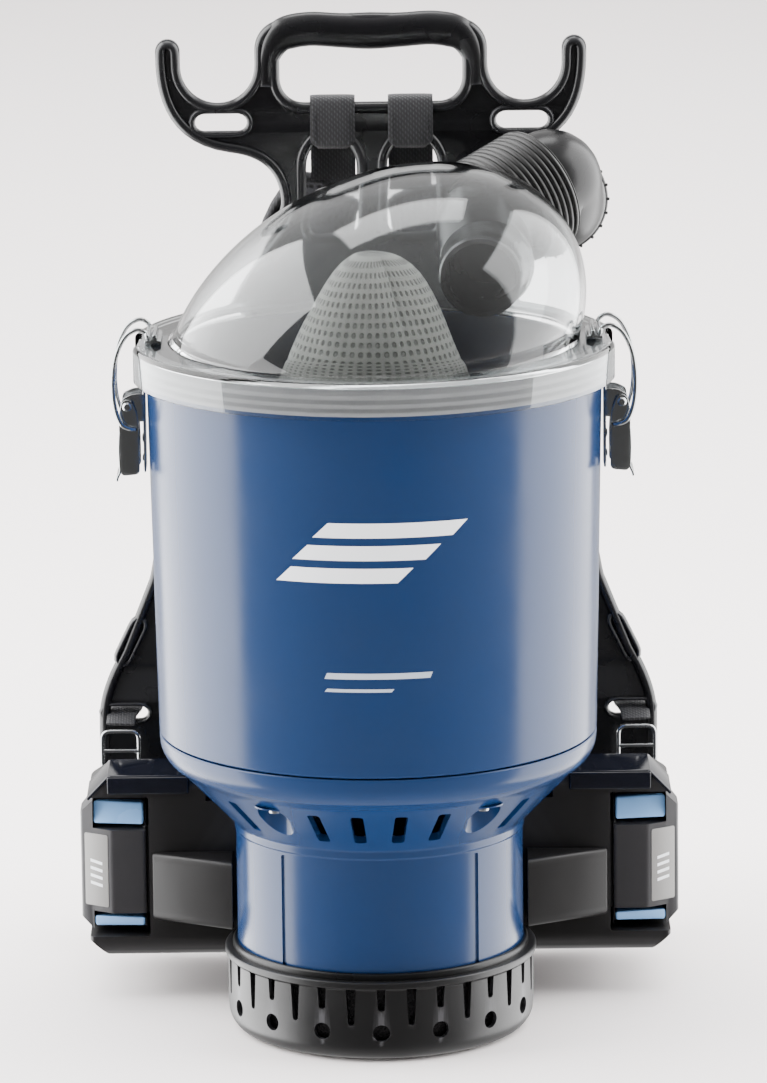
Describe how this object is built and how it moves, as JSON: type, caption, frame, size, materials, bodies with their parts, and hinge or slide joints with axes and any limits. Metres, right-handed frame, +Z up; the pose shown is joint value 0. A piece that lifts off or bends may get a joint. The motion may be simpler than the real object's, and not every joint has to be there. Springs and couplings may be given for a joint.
{
  "type": "backpack vacuum cleaner",
  "caption": "Battery backpack vacuum cleaner: tapered tank with a clear domed lid and latches, slotted motor foot, back frame with carrying handle, battery cradle and padded harness.",
  "frame": {"origin": "on the axis of the tank, on the flat underside of the foot that the machine stands on", "axes": "+Z up along the tank axis; +Y towards the wearer; +X to the right when the tank is seen from its front"},
  "size_m": [0.3584, 0.4637, 0.575],
  "materials": {
    "tank": "high gloss moulded",
    "black_plastic": "fine-grained moulded",
    "clear_plastic": "clear moulded polycarbonate",
    "grey_rubber": "smooth",
    "black_rubber": "matt",
    "steel": "bright plated",
    "filter_cloth": "needled felt",
    "exhaust_foam": "open-cell foam",
    "copper": "wound copper",
    "grey_plastic": "moulded",
    "circuit_board": "solder mask",
    "button_blue": "satin",
    "webbing": "woven",
    "padding": "knitted mesh"
  },
  "bodies": {
    "main": {"tank": "tank", "motor_housing": "tank", "foot_grille": "black_plastic", "back_frame": "black_plastic", "tank_saddle_lower": "black_plastic", "tank_saddle_upper": "black_plastic", "battery_cradle": "black_plastic", "belt_buckle_socket": "black_plastic", "belt_buckle_plug": "black_plastic", "motor_mount": "black_rubber", "motor_seal": "black_rubber", "filter_ring": "black_rubber", "motor_lead": "black_rubber", "housing_screw_1": "steel", "housing_screw_2": "steel", "housing_screw_3": "steel", "latch_bracket_left": "steel", "latch_bracket_right": "steel", "ladder_loop_left": "steel", "ladder_loop_right": "steel", "filter_cone": "filter_cloth", "exhaust_foam": "exhaust_foam", "motor_stator": "copper", "terminal_block_left": "copper", "terminal_block_right": "copper", "fan_casing": "grey_plastic", "control_board": "circuit_board", "strap_loop_left": "webbing", "strap_loop_right": "webbing", "lower_webbing_left": "webbing", "lower_webbing_right": "webbing", "belt_webbing_left": "webbing", "belt_webbing_right": "webbing", "back_pad": "padding", "shoulder_strap_left": "padding", "shoulder_strap_right": "padding", "hip_pad_left": "padding", "hip_pad_right": "padding"},
    "rotor": {"motor_rotor": "steel", "fan_wheel": "grey_plastic"},
    "lid": {"dome_lid": "clear_plastic", "lid_seal": "grey_rubber", "lid_catch_left": "steel", "lid_catch_right": "steel", "inlet_duct": "black_plastic", "inlet_sleeve": "black_rubber", "inlet_elbow": "black_plastic"},
    "hose_swivel": {"swivel_collar": "grey_plastic", "hose_socket": "black_plastic"},
    "lever_left": {"latch_lever_left": "steel"},
    "lever_right": {"latch_lever_right": "steel"},
    "bail_left": {"latch_bail_left": "steel"},
    "bail_right": {"latch_bail_right": "steel"},
    "pack_left": {"battery_pack_left": "black_plastic"},
    "pack_right": {"battery_pack_right": "black_plastic"},
    "button_top_left": {"release_button_top_left": "button_blue"},
    "button_top_right": {"release_button_top_right": "button_blue"},
    "button_bottom_left": {"release_button_bottom_left": "button_blue"},
    "button_bottom_right": {"release_button_bottom_right": "button_blue"},
    "switch": {"power_switch": "black_rubber"}
  },
  "joints": [
    {"name": "rotor_spin", "type": "hinge", "parent": "main", "child": "rotor", "pos_m": [0, 0, 0.085], "axis": [0, 0, 1], "continuous": true},
    {"name": "lid_lift", "type": "slide", "parent": "main", "child": "lid", "axis": [0, 0, 1], "range_m": [0, 0.08]},
    {"name": "hose_swivel_turn", "type": "hinge", "parent": "lid", "child": "hose_swivel", "pos_m": [0.107, 0.124, 0.4655], "axis": [0.05, 0.9937, -0.1001], "continuous": true},
    {"name": "latch_lever_right_turn", "type": "hinge", "parent": "main", "child": "lever_right", "pos_m": [0.142, 0, 0.371], "axis": [0, 1, 0], "range_deg": [-31, 0]},
    {"name": "latch_bail_right_turn", "type": "hinge", "parent": "lever_right", "child": "bail_right", "pos_m": [0.1376, 0, 0.358], "axis": [0, 1, 0], "range_deg": [0, 181]},
    {"name": "battery_right_slide", "type": "slide", "parent": "main", "child": "pack_right", "axis": [1, 0, 0], "range_m": [0, 0.09]},
    {"name": "button_top_right_press", "type": "slide", "parent": "pack_right", "child": "button_top_right", "axis": [0, 0, -1], "range_m": [0, 0.0025], "stiffness_N_per_m": 1200},
    {"name": "button_bottom_right_press", "type": "slide", "parent": "pack_right", "child": "button_bottom_right", "axis": [0, 0, 1], "range_m": [0, 0.0025], "stiffness_N_per_m": 1200},
    {"name": "latch_lever_left_turn", "type": "hinge", "parent": "main", "child": "lever_left", "pos_m": [-0.142, 0, 0.371], "axis": [0, 1, 0], "range_deg": [0, 31]},
    {"name": "latch_bail_left_turn", "type": "hinge", "parent": "lever_left", "child": "bail_left", "pos_m": [-0.1376, 0, 0.358], "axis": [0, 1, 0], "range_deg": [-181, 0]},
    {"name": "battery_left_slide", "type": "slide", "parent": "main", "child": "pack_left", "axis": [-1, 0, 0], "range_m": [0, 0.09]},
    {"name": "button_top_left_press", "type": "slide", "parent": "pack_left", "child": "button_top_left", "axis": [0, 0, -1], "range_m": [0, 0.0025], "stiffness_N_per_m": 1200},
    {"name": "button_bottom_left_press", "type": "slide", "parent": "pack_left", "child": "button_bottom_left", "axis": [0, 0, 1], "range_m": [0, 0.0025], "stiffness_N_per_m": 1200},
    {"name": "power_switch_rock", "type": "hinge", "parent": "main", "child": "switch", "pos_m": [0.122, 0.108, 0.117], "axis": [1, 0, 0], "range_deg": [-8, 8]}
  ],
  "couplings": [
    {"joint": "latch_lever_right_turn", "follows": "lid_lift", "rad_per_m": -6.76},
    {"joint": "latch_bail_right_turn", "follows": "lid_lift", "rad_per_m": 39.27},
    {"joint": "latch_lever_left_turn", "follows": "lid_lift", "rad_per_m": 6.76},
    {"joint": "latch_bail_left_turn", "follows": "lid_lift", "rad_per_m": -39.27}
  ]
}
